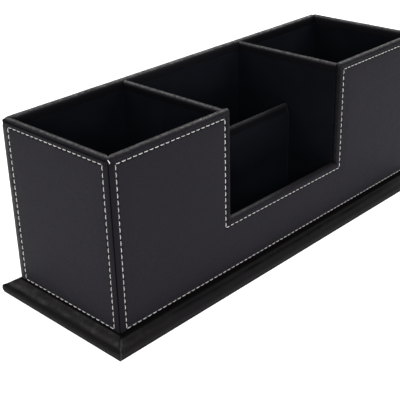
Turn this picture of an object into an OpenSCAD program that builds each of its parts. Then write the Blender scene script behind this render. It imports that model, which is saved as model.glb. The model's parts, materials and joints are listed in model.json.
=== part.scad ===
// Desk organizer of stitched leather: three open bays on a moulded base.
// X runs along the front, Y goes from front to back and Z is up. The origin is under the middle,
// on the surface that the organizer stands on.

/* [Box] */
// Length of the box along the front, over its leather
box_l = 276; // [230:1:340]
// Depth of the box from front to back, over its leather
box_d = 86; // [76:1:120]
// Height of the box above the base
box_h = 100; // [86:1:140]
// Radius of the upright corners
corner_r = 1.6; // [1.2:0.1:2]
// Depth of the groove where two covers meet at a corner
seam_depth = 0.35; // [0.2:0.05:0.4]

/* [Notch] */
// Width of the notch in the front, which is also the clear length of the middle bay
notch_w = 100; // [60:1:140]
// Height of the notch's floor above the base
notch_floor = 34; // [24:1:60]

/* [Bays] */
// Clear depth of the pocket in front of the partition
front_pocket_d = 33.5; // [24:0.5:45]
// Height of the partition above the base
partition_h = 66; // [45:1:80]
// How far the dividers stop below the rim of the box
divider_drop = 1; // [0.5:0.1:3]

/* [Sheet stock] */
// Thickness of the fibreboard in the walls, dividers and partition
board_t = 2.5; // [2:0.1:4]
// Thickness of the leather
leather_t = 0.9; // [0.8:0.05:1.2]
// Thickness of the velvet lining
lining_t = 0.9; // [0.6:0.05:1.2]
// Thickness of the box's floor board
floor_t = 5; // [4:0.5:8]
// Thickness of the velvet pads on the floor
floor_pad_t = 1.2; // [0.8:0.1:3]

/* [Rolled rim] */
// How far the rolled rim stands proud of the cover's face
roll_proud = 0.3; // [0.1:0.05:0.6]
// Height of the leather that is folded in over the rim, from the top
fold_h = 6; // [5:0.5:12]

/* [Stitch line] */
// Distance of the stitch line from the edges of a cover
stitch_inset = 4.8; // [4:0.1:8]
// Height of the lowest stitch line above the base
stitch_foot = 1.2; // [0.8:0.1:4]
// Width of the channel that the stitches press into the leather
channel_w = 1.2; // [0.8:0.1:1.4]
// Depth of that channel
channel_depth = 0.3; // [0.1:0.05:0.5]

/* [Base] */
// Height of the base with its leather
base_h = 9.2; // [8:0.1:14]
// How far the base reaches out past the box
base_overhang = 8.5; // [6:0.1:14]
// Radius of the base's bullnose edge
bullnose_r = 3.8; // [3:0.1:4.5]
// Height of the bullnose's axis above the underside of the leather
bullnose_z = 2.3; // [1.5:0.1:2.8]
// Width of the leather that is folded under the base
underfold_w = 14; // [10:1:24]
// Distance that the felt pad stands below the folded leather
pad_proud = 0.4; // [0.2:0.1:1]

/* [Joints] */
// Depth of the grooves in the walls that take the dividers' tongues
groove_depth = 0.8; // [0.5:0.1:1.2]
// Length of the tabs on the dividers and the partition
tab_l = 16; // [8:1:20]
// Depth of the tabs in the floor board
tab_depth = 3; // [1:0.5:3.5]
// Distance of the divider tabs from the middle of the box's depth
tab_offset = 20; // [14:1:24]
// Clearance round tabs, tongues, floor pads and the felt
joint_gap = 0.1; // [0.05:0.05:0.3]

/* [Screws] */
// Diameter of the screws that hold the base to the box
screw_d = 3; // [2.5:0.1:4]
// Diameter of the countersunk head
screw_head_d = 6; // [5:0.1:8]
// Length of a screw with its head
screw_l = 12; // [10.5:0.1:12.5]
// Distance of the end screws from the ends of the box
screw_end = 36; // [20:1:50]
// Distance of the screws from the middle of the box's depth
screw_offset = 26; // [20:1:28]

/* [Hidden] */
$fn = 64;

leather_colour = "#2b2a2d";
velvet_colour = "#101114";
board_colour = "#a98a63";
felt_colour = "#1d1d1f";
screw_colour = "#b9bcc0";

// Extra length of a cutting shape past the face that it cuts
past = 1;

// Layers of a wall, counted inwards from the face of its cover
board_in = leather_t + board_t;
wall_t = board_in + leather_t;
roll_r = (wall_t + roll_proud) / 2;
roll_depth = roll_r - roll_proud;
board_depth = leather_t + board_t / 2;

// Heights
base_top = pad_proud + base_h;
rim_z = base_top + box_h;
floor_z = base_top + floor_t;
lining_z = rim_z - fold_h;
notch_lining_z = base_top + notch_floor - fold_h;
board_foot_z = pad_proud + leather_t;

// Plan sizes: between the boards, and between the leather folds on them
inner_l = box_l - 2 * board_in;
inner_d = box_d - 2 * board_in;
clear_d = box_d - 2 * wall_t;

// Dividers stand with their inner faces in line with the sides of the notch
divider_x = notch_w / 2 + leather_t + board_t / 2;
divider_face = divider_x + board_t / 2;
middle_half = notch_w / 2 + leather_t;
crest_r = wall_t / 2;
crest_leg = fold_h - divider_drop;
divider_axis_z = rim_z - divider_drop - crest_r;
tongue_h = notch_lining_z - floor_z - joint_gap;

// Partition between the linings of the two dividers
partition_l = 2 * (middle_half - lining_t);
partition_y = -inner_d / 2 + lining_t + front_pocket_d + lining_t + board_t / 2;
partition_axis_z = base_top + partition_h - crest_r;
partition_leg_z = base_top + partition_h - crest_leg;
partition_end_x = partition_l / 2 - crest_r;

// Edge of the base: a sloping ledge that runs tangent into the bullnose
bullnose_out = base_overhang - bullnose_r;
bullnose_axis_z = pad_proud + bullnose_z;
ledge_drop = base_top - bullnose_axis_z;
ledge_angle = atan2(ledge_drop, bullnose_out) - asin(bullnose_r / norm([bullnose_out, ledge_drop]));

screw_tip_h = screw_d / 2;
screw_head_h = (screw_head_d - screw_d) / 2;
screw_places = [for (x = [-1, 0, 1], y = [-1, 1]) [x * (box_l / 2 - screw_end), y * screw_offset]];

// Frames of the four walls: X runs along the wall, Y goes inwards from its outer face, Z is up
module on_front() {
    translate([0, -box_d / 2, base_top]) children();
}

module on_back() {
    translate([0, box_d / 2, base_top]) rotate(180) children();
}

module on_left() {
    translate([-box_l / 2, 0, base_top]) rotate(-90) children();
}

module on_right() {
    translate([box_l / 2, 0, base_top]) rotate(90) children();
}

// Box between two opposite corners
module block(low, high) {
    translate(low) cube(high - low);
}

// Outline of a wall. Its ends, foot, top, notch sides and notch floor are each drawn in by their own amount.
function wall_outline(length, notched, ends, foot, top, side, floor) =
    let (
        x = length / 2 - ends,
        z = box_h - top,
        notch_x = notch_w / 2 + side,
        notch_z = notch_floor - floor
    )
    notched
        ? [[-x, foot], [x, foot], [x, z], [notch_x, z], [notch_x, notch_z],
           [-notch_x, notch_z], [-notch_x, z], [-x, z]]
        : [[-x, foot], [x, foot], [x, z], [-x, z]];

// Outline up to the axis of the rim, and outline of the part that the lining covers
function rim_outline(length, notched, more = 0) =
    wall_outline(length, notched, -more, -more, roll_r, roll_r, roll_r);

function lined_outline(length, notched) =
    wall_outline(length, notched, -past, -past, fold_h, board_in, fold_h);

// Stitch line of a cover, moved sideways by off
function stitch_outline(length, notched, off) =
    let (inset = stitch_inset + off)
    wall_outline(length, notched, inset, stitch_foot + off, inset, inset, inset);

// Flat layer of a wall between two depths
module wall_layer(outline, near, far) {
    translate([0, far, 0]) rotate([90, 0, 0]) linear_extrude(far - near) polygon(outline);
}

module bar_x(low, high, z, r) {
    translate([low, 0, z]) rotate([0, 90, 0]) cylinder(r = r, h = high - low);
}

module bar_z(x, low, high, r) {
    translate([x, 0, low]) cylinder(r = r, h = high - low);
}

// Round bar along the rim of a wall: straight along the top, or down into the notch and out again
module rim_bar(length, notched, r) {
    end = length / 2 + past;
    top_z = box_h - roll_r;
    notch_x = notch_w / 2 + roll_r;
    notch_z = notch_floor - roll_r;
    if (notched) {
        bar_x(-end, -notch_x, top_z, r);
        bar_x(notch_x, end, top_z, r);
        bar_x(-notch_x, notch_x, notch_z, r);
        for (x = [-notch_x, notch_x]) {
            bar_z(x, notch_z, top_z, r);
            for (z = [notch_z, top_z]) {
                translate([x, 0, z]) sphere(r = r);
            }
        }
    } else {
        bar_x(-end, end, top_z, r);
    }
}

// Plan of a wall between the mitres at its ends
module mitre_plan(length) {
    outer = length / 2 + past;
    inner = length / 2 - wall_t - past;
    polygon([[-outer, -past], [outer, -past], [inner, wall_t + past], [-inner, wall_t + past]]);
}

// Plan of the box near one wall, with round corners, widened by more
module corner_plan(length, more) {
    x = length / 2;
    translate([-x - more, corner_r]) square([length + 2 * more, wall_t + past]);
    translate([-x + corner_r, -more]) square([length - 2 * corner_r, wall_t + past]);
    for (side = [-1, 1]) {
        translate([side * (x - corner_r), corner_r]) circle(r = corner_r + more);
    }
}

module mitred(length) {
    intersection() {
        children();
        translate([0, 0, -past]) linear_extrude(box_h + 2 * past) mitre_plan(length);
    }
}

module mitred_round(length, more) {
    intersection() {
        children();
        translate([0, 0, -past]) linear_extrude(box_h + 2 * past) intersection() {
            mitre_plan(length);
            corner_plan(length, more);
        }
    }
}

// Board of a wall before its mitres, with its rims rounded under the leather
module board_blank(length, notched) {
    wall_layer(rim_outline(length, notched, past), leather_t, board_in);
    translate([0, board_depth, 0]) rim_bar(length, notched, board_t / 2);
}

module wall_board(length, notched) {
    difference() {
        mitred(length) board_blank(length, notched);
        block([-length / 2, 0, -2 * past], [length / 2, wall_t, 0]);
    }
}

// Grooves in the front and back boards for the dividers' tongues
module tongue_grooves() {
    for (side = [-1, 1]) {
        translate([side * divider_x, board_in, 0]) block(
            [-board_t / 2 - joint_gap, -groove_depth - joint_gap, floor_t],
            [board_t / 2 + joint_gap, past, floor_t + tongue_h + joint_gap]
        );
    }
}

// Channel of the stitch line on the face of a cover
module stitch_channel(length, notched) {
    translate([0, channel_depth, 0]) rotate([90, 0, 0]) linear_extrude(channel_depth + past) difference() {
        polygon(stitch_outline(length, notched, -channel_w / 2));
        polygon(stitch_outline(length, notched, channel_w / 2));
    }
}

// Groove at each end of a cover, where it meets the next one
module seam_cuts(length) {
    step = corner_r - corner_r * sqrt(1 / 2) + seam_depth * sqrt(1 / 2);
    x = length / 2;
    for (side = [-1, 1]) {
        translate([side * x, 0, 0]) block(
            [side < 0 ? -past : -step, -past, -past],
            [side < 0 ? step : past, step, box_h + past]
        );
    }
}

// Leather of a wall: the face, the roll over the rim and the fold on the inner side
module wall_cover(length, notched) {
    difference() {
        union() {
            mitred_round(length, 0) {
                wall_layer(rim_outline(length, notched), 0, leather_t);
            }
            mitred(length) {
                wall_layer(rim_outline(length, notched), board_in, wall_t);
            }
            mitred_round(length, roll_proud) {
                translate([0, roll_depth, 0]) rim_bar(length, notched, roll_r);
            }
        }
        board_blank(length, notched);
        wall_layer(lined_outline(length, notched), board_in, wall_t + past);
        stitch_channel(length, notched);
        seam_cuts(length);
    }
}

// Wall of thickness 2 r along Y, with a half-round top
module crest(length, r, foot_z, axis_z) {
    block([-r, -length / 2, foot_z], [r, length / 2, axis_z]);
    translate([0, length / 2, axis_z]) rotate([90, 0, 0]) cylinder(r = r, h = length);
}

// Top of the partition, round over its top and down its ends
module partition_crest(r, foot_z) {
    block([-partition_end_x, -r, foot_z], [partition_end_x, r, partition_axis_z]);
    bar_x(-partition_end_x, partition_end_x, partition_axis_z, r);
    for (x = [-partition_end_x, partition_end_x]) {
        bar_z(x, foot_z, partition_axis_z, r);
        translate([x, 0, partition_axis_z]) sphere(r = r);
    }
}

// Tabs under the dividers and the partition, and the mortises for them, widened by gap
module divider_tabs(gap) {
    for (y = [-tab_offset, tab_offset]) {
        translate([0, y, 0]) block(
            [-board_t / 2 - gap, -tab_l / 2 - gap, floor_z - tab_depth - gap],
            [board_t / 2 + gap, tab_l / 2 + gap, floor_z + gap]
        );
    }
}

module partition_tab(gap) {
    block(
        [-tab_l / 2 - gap, -board_t / 2 - gap, floor_z - tab_depth - gap],
        [tab_l / 2 + gap, board_t / 2 + gap, floor_z + gap]
    );
}

module divider_board() {
    tongue_y = inner_d / 2 + groove_depth;
    crest(clear_d, board_t / 2, floor_z, divider_axis_z);
    block([-board_t / 2, -tongue_y, floor_z], [board_t / 2, tongue_y, floor_z + tongue_h]);
    divider_tabs(0);
}

module divider_binding() {
    difference() {
        crest(clear_d, crest_r, lining_z, divider_axis_z);
        crest(clear_d + 2 * past, board_t / 2, lining_z - past, divider_axis_z);
    }
}

// Velvet sleeve round a bay, from one board face to the other
module sleeve(low_x, high_x) {
    difference() {
        block([low_x, -inner_d / 2, floor_z], [high_x, inner_d / 2, lining_z]);
        block(
            [low_x + lining_t, -inner_d / 2 + lining_t, floor_z - past],
            [high_x - lining_t, inner_d / 2 - lining_t, lining_z + past]
        );
    }
}

module floor_pad(low, high) {
    block(
        [low.x + joint_gap, low.y + joint_gap, floor_z],
        [high.x - joint_gap, high.y - joint_gap, floor_z + floor_pad_t]
    );
}

// Run of the base between two opposite edges of the box, inset under the leather and cut off at foot_z
module base_run(half, run, inset, foot_z) {
    r = bullnose_r - inset;
    top_z = base_top - inset;
    tangent = [bullnose_out + r * sin(ledge_angle), bullnose_axis_z + r * cos(ledge_angle)];
    ledge_start = tangent.x - (top_z - tangent.y) / tan(ledge_angle);
    foot_out = bullnose_out + sqrt(max(0, r * r - pow(bullnose_axis_z - foot_z, 2)));
    edge = [
        [half + ledge_start, top_z],
        [half + tangent.x, tangent.y],
        [half + bullnose_out, bullnose_axis_z],
        [half + foot_out, foot_z]
    ];
    mirrored = [for (i = [len(edge) - 1:-1:0]) [-edge[i].x, edge[i].y]];
    reach = half + 2 * base_overhang;
    rotate([90, 0, 0]) difference() {
        union() {
            linear_extrude(run, center = true) polygon(concat(edge, mirrored));
            for (side = [-1, 1]) {
                translate([side * (half + bullnose_out), bullnose_axis_z, 0])
                    cylinder(r = r, h = run, center = true);
            }
        }
        block([-reach, foot_z - 2 * bullnose_r, -run], [reach, foot_z, run]);
    }
}

// Base with the same edge on all four sides, mitred at the corners
module base_form(inset, foot_z) {
    intersection() {
        base_run(box_l / 2, box_d + 4 * base_overhang, inset, foot_z);
        rotate(90) base_run(box_d / 2, box_l + 4 * base_overhang, inset, foot_z);
    }
}

// Space inside the folded leather under the base, drawn in by gap
module underside(low_z, high_z, gap) {
    x = box_l / 2 + base_overhang - underfold_w - gap;
    y = box_d / 2 + base_overhang - underfold_w - gap;
    block([-x, -y, low_z], [x, y, high_z]);
}

// Countersunk screw with its head down, widened by gap
module screw(gap) {
    shank_h = screw_l - screw_tip_h;
    translate([0, 0, board_foot_z]) {
        cylinder(d1 = screw_head_d + 2 * gap, d2 = screw_d + 2 * gap, h = screw_head_h);
        cylinder(d = screw_d + 2 * gap, h = shank_h);
        translate([0, 0, shank_h]) cylinder(d1 = screw_d + 2 * gap, d2 = 0, h = screw_tip_h + gap);
    }
}

module base_board() {
    color(board_colour) difference() {
        base_form(leather_t, board_foot_z);
        for (p = screw_places) {
            translate(p) screw(joint_gap);
        }
    }
}

module base_cover() {
    color(leather_colour) difference() {
        base_form(0, pad_proud);
        base_form(leather_t, board_foot_z);
        underside(-past, board_foot_z + past, 0);
        for (p = screw_places) {
            translate(p) screw(joint_gap);
        }
    }
}

module base_pad() {
    color(felt_colour) underside(0, board_foot_z, joint_gap);
}

module base_screws() {
    color(screw_colour) for (p = screw_places) {
        translate(p) screw(0);
    }
}

module floor_board() {
    color(board_colour) difference() {
        block([-inner_l / 2, -inner_d / 2, base_top], [inner_l / 2, inner_d / 2, floor_z]);
        for (side = [-1, 1]) {
            translate([side * divider_x, 0, 0]) divider_tabs(joint_gap);
        }
        translate([0, partition_y, 0]) partition_tab(joint_gap);
        for (p = screw_places) {
            translate(p) screw(0);
        }
    }
}

module front_board() {
    color(board_colour) on_front() difference() {
        wall_board(box_l, true);
        tongue_grooves();
    }
}

module back_board() {
    color(board_colour) on_back() difference() {
        wall_board(box_l, false);
        tongue_grooves();
    }
}

module left_end_board() {
    color(board_colour) on_left() wall_board(box_d, false);
}

module right_end_board() {
    color(board_colour) on_right() wall_board(box_d, false);
}

module left_divider_board() {
    color(board_colour) translate([-divider_x, 0, 0]) divider_board();
}

module right_divider_board() {
    color(board_colour) translate([divider_x, 0, 0]) divider_board();
}

module partition_board() {
    color(board_colour) translate([0, partition_y, 0]) {
        partition_crest(board_t / 2, partition_leg_z);
        block([-partition_l / 2, -board_t / 2, floor_z], [partition_l / 2, board_t / 2, partition_leg_z]);
        partition_tab(0);
    }
}

module front_cover() {
    color(leather_colour) on_front() wall_cover(box_l, true);
}

module back_cover() {
    color(leather_colour) on_back() wall_cover(box_l, false);
}

module left_end_cover() {
    color(leather_colour) on_left() wall_cover(box_d, false);
}

module right_end_cover() {
    color(leather_colour) on_right() wall_cover(box_d, false);
}

module left_divider_binding() {
    color(leather_colour) translate([-divider_x, 0, 0]) divider_binding();
}

module right_divider_binding() {
    color(leather_colour) translate([divider_x, 0, 0]) divider_binding();
}

module partition_binding() {
    color(leather_colour) translate([0, partition_y, 0]) difference() {
        partition_crest(crest_r, partition_leg_z);
        partition_crest(board_t / 2, partition_leg_z - past);
    }
}

module left_bay_lining() {
    color(velvet_colour) sleeve(-inner_l / 2, -divider_face);
}

module right_bay_lining() {
    color(velvet_colour) sleeve(divider_face, inner_l / 2);
}

// The sleeve of the middle bay is cut down behind the notch
module middle_bay_lining() {
    color(velvet_colour) difference() {
        sleeve(-middle_half, middle_half);
        block(
            [-middle_half - past, -inner_d / 2 - past, notch_lining_z],
            [middle_half + past, -inner_d / 2 + max(lining_t, leather_t), lining_z + past]
        );
    }
}

module partition_lining(near) {
    translate([0, partition_y, 0]) block(
        [-partition_l / 2, near, floor_z],
        [partition_l / 2, near + lining_t, partition_leg_z]
    );
}

module partition_front_lining() {
    color(velvet_colour) partition_lining(-board_t / 2 - lining_t);
}

module partition_back_lining() {
    color(velvet_colour) partition_lining(board_t / 2);
}

module left_bay_floor_pad() {
    color(velvet_colour) floor_pad(
        [-inner_l / 2 + lining_t, -inner_d / 2 + lining_t],
        [-divider_face - lining_t, inner_d / 2 - lining_t]
    );
}

module right_bay_floor_pad() {
    color(velvet_colour) floor_pad(
        [divider_face + lining_t, -inner_d / 2 + lining_t],
        [inner_l / 2 - lining_t, inner_d / 2 - lining_t]
    );
}

module front_pocket_floor_pad() {
    color(velvet_colour) floor_pad(
        [-partition_l / 2, -inner_d / 2 + lining_t],
        [partition_l / 2, partition_y - board_t / 2 - lining_t]
    );
}

module back_pocket_floor_pad() {
    color(velvet_colour) floor_pad(
        [-partition_l / 2, partition_y + board_t / 2 + lining_t],
        [partition_l / 2, inner_d / 2 - lining_t]
    );
}

base_board();
base_cover();
base_pad();
base_screws();
floor_board();
front_board();
back_board();
left_end_board();
right_end_board();
left_divider_board();
right_divider_board();
partition_board();
front_cover();
back_cover();
left_end_cover();
right_end_cover();
left_divider_binding();
right_divider_binding();
partition_binding();
left_bay_lining();
middle_bay_lining();
right_bay_lining();
partition_front_lining();
partition_back_lining();
left_bay_floor_pad();
front_pocket_floor_pad();
back_pocket_floor_pad();
right_bay_floor_pad();
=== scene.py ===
import json
import math

import bpy
import numpy as np
from bpy.props import FloatProperty, FloatVectorProperty, IntProperty, PointerProperty
from mathutils import Matrix, Vector, noise


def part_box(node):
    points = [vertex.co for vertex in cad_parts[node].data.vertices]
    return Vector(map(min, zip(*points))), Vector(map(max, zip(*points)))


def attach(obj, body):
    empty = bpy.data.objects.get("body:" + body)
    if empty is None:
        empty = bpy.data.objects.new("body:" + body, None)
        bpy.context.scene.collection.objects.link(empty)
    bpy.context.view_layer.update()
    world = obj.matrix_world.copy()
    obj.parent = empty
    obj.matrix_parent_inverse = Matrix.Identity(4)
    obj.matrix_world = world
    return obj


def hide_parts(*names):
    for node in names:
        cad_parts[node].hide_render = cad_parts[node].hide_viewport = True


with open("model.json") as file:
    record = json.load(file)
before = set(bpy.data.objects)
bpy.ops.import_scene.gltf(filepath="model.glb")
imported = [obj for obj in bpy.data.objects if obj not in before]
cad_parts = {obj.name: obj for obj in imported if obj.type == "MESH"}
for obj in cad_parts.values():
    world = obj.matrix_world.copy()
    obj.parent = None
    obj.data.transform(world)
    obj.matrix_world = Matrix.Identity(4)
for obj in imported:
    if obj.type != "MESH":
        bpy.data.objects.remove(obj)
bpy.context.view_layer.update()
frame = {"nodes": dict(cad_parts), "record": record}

bl_info = {
    "name": "Leather Desk Organizer",
    "version": (1, 0, 0),
    "blender": (4, 5, 0),
    "location": "View3D > Sidebar > Organizer",
    "description": "Dresses a desk organizer in stitched leather and velvet, and sets it on a studio floor",
    "category": "Object",
}

MM = 0.001
BODY = "root"
SHARP_ANGLE = math.radians(60)


# Sizes of the frame

def low(node):
    """Lowest corner of a node of the frame."""
    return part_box(node)[0]


def high(node):
    """Highest corner of a node of the frame."""
    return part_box(node)[1]


LEATHER_T = low("base_board").z - low("base_cover").z
BOARD_T = high("front_board").y - low("front_board").y
WALL_T = BOARD_T + 2 * LEATHER_T
BOX_L = 2 * (high("right_end_board").x + LEATHER_T)
BOX_D = 2 * (high("back_board").y + LEATHER_T)
BASE_TOP = low("floor_board").z
RIM_Z = high("back_cover").z
BOX_H = RIM_Z - BASE_TOP
FOLD_H = RIM_Z - high("left_bay_lining").z
LINING_T = high("partition_front_lining").y - low("partition_front_lining").y
NOTCH_HALF = high("partition_front_lining").x
NOTCH_FLOOR = min(
    (abs(v.co.x), v.co.z) for v in frame["nodes"]["front_cover"].data.vertices
)[1] - BASE_TOP

# The roll over the rim is a round bar that starts from a valley in the face of the cover
ROLL_PROUD = high("back_cover").y - BOX_D / 2
ROLL_R = (WALL_T + ROLL_PROUD) / 2
ROLL_DEPTH = ROLL_R - ROLL_PROUD
VALLEY = ROLL_R + math.sqrt(ROLL_R ** 2 - ROLL_DEPTH ** 2)

# Lines of the mesh round the roll, and places of those down the fold behind it
ROLL_RINGS = 20
FOLD_SHARES = (0.4, 1)


# Settings

def length(name, value, description):
    """Property that holds a length."""
    return FloatProperty(
        name=name, description=description, default=value, min=0, unit="LENGTH", precision=5
    )


def share(name, value, description):
    """Property that holds a number from 0 to 1."""
    return FloatProperty(
        name=name, description=description, default=value, min=0, max=1, subtype="FACTOR"
    )


def colour(name, value, description):
    """Property that holds a colour."""
    return FloatVectorProperty(
        name=name, description=description, default=value, min=0, max=1, size=3, subtype="COLOR"
    )


class LeatherSettings(bpy.types.PropertyGroup):
    """Leather of the covers, bindings and base."""

    colour: colour("Colour", (0.0176, 0.0162, 0.0216), "Black of the leather")
    # Lighter colour for rubbed edges, which also serves as a painted highlight on rims, ledges and bindings
    rubbed: colour("Rubbed colour", (0.022, 0.0188, 0.018), "Leather on rolled edges, where hands rub it")
    grain: length("Grain", 0.85 * MM, "Size of a cell of the grain")
    roughness: share("Roughness", 0.58, "Roughness of the finish")
    puff: length("Puff", 0.22 * MM, "How far a stitched panel swells")
    strip_puff: length("Border puff", 0.3 * MM, "How far the border outside the stitches swells")
    wave: length("Wave", 0.1 * MM, "Height of the slow waves in the leather")
    wrinkle: length("Wrinkle", 0.09 * MM, "Height of the wrinkles along the rolled rims")
    shoulder: length("Seam shoulder", 0.9 * MM, "How far from a corner seam the leather starts to turn in")
    seam: length("Seam depth", 0.5 * MM, "Depth of the seam at the corners and at the foot of the walls")
    foot: length("Foot", 0.8 * MM, "Height over which the foot of a wall turns in")
    step: length("Mesh step", 1.05 * MM, "Distance between the lines of the mesh")


class StitchSettings(bpy.types.PropertyGroup):
    """Sewing on the covers."""

    colour: colour("Thread colour", (0.93, 0.92, 0.9), "Off-white thread")
    pitch: length("Pitch", 3.7 * MM, "Distance from one needle hole to the next")
    length: length("Stitch length", 2.7 * MM, "Length of the thread that shows in one stitch")
    thread: length("Thread", 0.58 * MM, "Diameter of the thread")
    inset: length("Inset", 4.8 * MM, "Distance of the stitches from the rim and from the corner seams")
    foot: length("Foot", 1.0 * MM, "Height of the lowest stitches above the base")
    channel: length("Channel", 0.62 * MM, "Half width of the channel that the thread presses in")
    depth: length("Channel depth", 0.34 * MM, "Depth of that channel")
    wander: FloatProperty(
        name="Wander", description="Largest turn of a stitch off its line",
        default=math.radians(3), subtype="ANGLE",
    )
    seed: IntProperty(name="Seed", description="Seed of the stitches' small differences", default=7)


class BaseSettings(bpy.types.PropertyGroup):
    """Moulded base under the box."""

    colour: colour("Colour", (0.014, 0.0128, 0.0138), "Black of its leather, duller than on the walls")
    bullnose: length("Bullnose", 3.8 * MM, "Radius of the bullnose edge")
    bullnose_z: length("Bullnose height", 2.7 * MM, "Height of the bullnose's axis above the floor")
    underfold: length("Underfold", 14 * MM, "Width of the leather that is folded under")
    crease: length("Corner crease", 0.3 * MM, "Height of the folded edge at the corners")


class VelvetSettings(bpy.types.PropertyGroup):
    """Lining of the bays."""

    colour: colour("Colour", (0.0046, 0.0056, 0.0082), "Black of the pile")
    corner: length("Corner", 2.2 * MM, "Radius of the lining in the corners of a bay")
    wave: length("Wave", 0.12 * MM, "Height of the slow waves in the lining")
    step: length("Mesh step", 3 * MM, "Distance between the lines of the mesh")


class StageSettings(bpy.types.PropertyGroup):
    """Studio round the organizer."""

    floor: colour("Floor", (0.35, 0.35, 0.35), "Pale studio floor")
    softbox: FloatProperty(name="Softbox", description="Power of a full softbox", default=8, unit="POWER")
    fill: FloatProperty(name="Fill", description="Strength of the light from all round", default=0.1, min=0)
    glow: FloatProperty(name="Glow", description="Strength of the floor's own light", default=1.06, min=0)
    lens: FloatProperty(name="Lens", description="Focal length of the camera", default=79.33, unit="CAMERA")


class OrganizerSettings(bpy.types.PropertyGroup):
    """All the settings of the organizer."""

    leather: PointerProperty(type=LeatherSettings)
    stitch: PointerProperty(type=StitchSettings)
    base: PointerProperty(type=BaseSettings)
    velvet: PointerProperty(type=VelvetSettings)
    stage: PointerProperty(type=StageSettings)


# Nodes

class Wire:
    """Output of a node. Expressions on wires add Math nodes."""

    def __init__(self, nodes, socket):
        self.nodes = nodes
        self.socket = socket

    def out(self, name):
        """Another output of the same node."""
        return Wire(self.nodes, self.socket.node.outputs[name])

    def math(self, operation, *values):
        """Math node on those values."""
        return self.nodes.add("ShaderNodeMath", {"operation": operation}, dict(enumerate(values)))

    def __add__(self, other):
        return self.math("ADD", self, other)

    def __radd__(self, other):
        return self.math("ADD", other, self)

    def __sub__(self, other):
        return self.math("SUBTRACT", self, other)

    def __rsub__(self, other):
        return self.math("SUBTRACT", other, self)

    def __mul__(self, other):
        return self.math("MULTIPLY", self, other)

    def __rmul__(self, other):
        return self.math("MULTIPLY", other, self)

    def __pow__(self, other):
        return self.math("POWER", self, other)

    def clamped(self, least, most):
        """This value, kept between two others."""
        return self.math("MINIMUM", self.math("MAXIMUM", self, least), most)


class Nodes:
    """Node tree that is built from Python expressions."""

    def __init__(self, tree):
        self.tree = tree

    def add(self, kind, settings=None, sockets=None, output=0):
        """New node: its settings are set first, and then its sockets get their values or links."""
        node = self.tree.nodes.new(kind)
        for name, value in (settings or {}).items():
            setattr(node, name, value)
        for name, value in (sockets or {}).items():
            self.feed(node.inputs[name], value)
        return Wire(self, node.outputs[output])

    def feed(self, socket, value):
        """Links a wire to a socket, or sets the socket's own value."""
        if isinstance(value, Wire):
            self.tree.links.new(value.socket, socket)
        else:
            socket.default_value = value


class Finish(Nodes):
    """Procedural material on Object coordinates."""

    def __init__(self, name, **constants):
        self.material = bpy.data.materials.new(name)
        self.material.use_nodes = True
        super().__init__(self.material.node_tree)
        self.shader = self.tree.nodes["Principled BSDF"]
        self.place = self.add("ShaderNodeTexCoord", output="Object")
        for socket, value in constants.items():
            self.shader.inputs[socket.replace("_", " ")].default_value = value

    def shade(self, **varying):
        """Feeds what changes over the surface to the shader."""
        for socket, value in varying.items():
            self.feed(self.shader.inputs[socket.replace("_", " ")], value)
        return self.material

    def dulled(self, factor, colour):
        """Mixes a matte shader of that colour into the finish, by factor."""
        matte = self.add(
            "ShaderNodeBsdfPrincipled",
            sockets={"Base Color": colour, "Roughness": 1.0, "Specular IOR Level": 0.0},
        )
        shine = Wire(self, self.shader.outputs[0])
        mix = self.add("ShaderNodeMixShader", sockets={0: factor, 1: shine, 2: matte})
        self.feed(self.tree.nodes["Material Output"].inputs["Surface"], mix)

    def clouds(self, size, detail=2, place=None):
        """Noise from 0 to 1 with features of that size."""
        sockets = {"Vector": place or self.place, "Scale": 1 / size, "Detail": detail}
        return self.add("ShaderNodeTexNoise", sockets=sockets)

    def cells(self, size, feature, place=None):
        """Distance in a pattern of irregular cells of that size."""
        sockets = {"Vector": place or self.place, "Scale": 1 / size}
        return self.add("ShaderNodeTexVoronoi", {"feature": feature}, sockets)

    def warped(self, size, amount):
        """Object coordinates that wander by about that amount."""
        push = self.add(
            "ShaderNodeTexNoise", sockets={"Vector": self.place, "Scale": 1 / size}, output="Color"
        )
        scaled = self.add("ShaderNodeVectorMath", {"operation": "SCALE"}, {0: push, "Scale": amount})
        return self.add("ShaderNodeVectorMath", {"operation": "ADD"}, {0: self.place, 1: scaled})

    def painted(self, name):
        """Value that is kept on the mesh under that name."""
        return self.add("ShaderNodeAttribute", {"attribute_name": name}, output="Fac")

    def mixed(self, factor, first, second):
        """Colour between two others."""
        sockets = {"Factor": factor, 6: first, 7: second}
        return self.add("ShaderNodeMix", {"data_type": "RGBA"}, sockets, output=2)

    def bump(self, height, distance, strength):
        """Normal of a surface with that relief."""
        sockets = {"Height": height, "Distance": distance, "Strength": strength}
        return self.add("ShaderNodeBump", sockets=sockets)


def rgba(value, gain=1.0):
    """Colour of a setting with its alpha, made lighter or darker by gain."""
    return (*(gain * part for part in value), 1.0)


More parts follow.
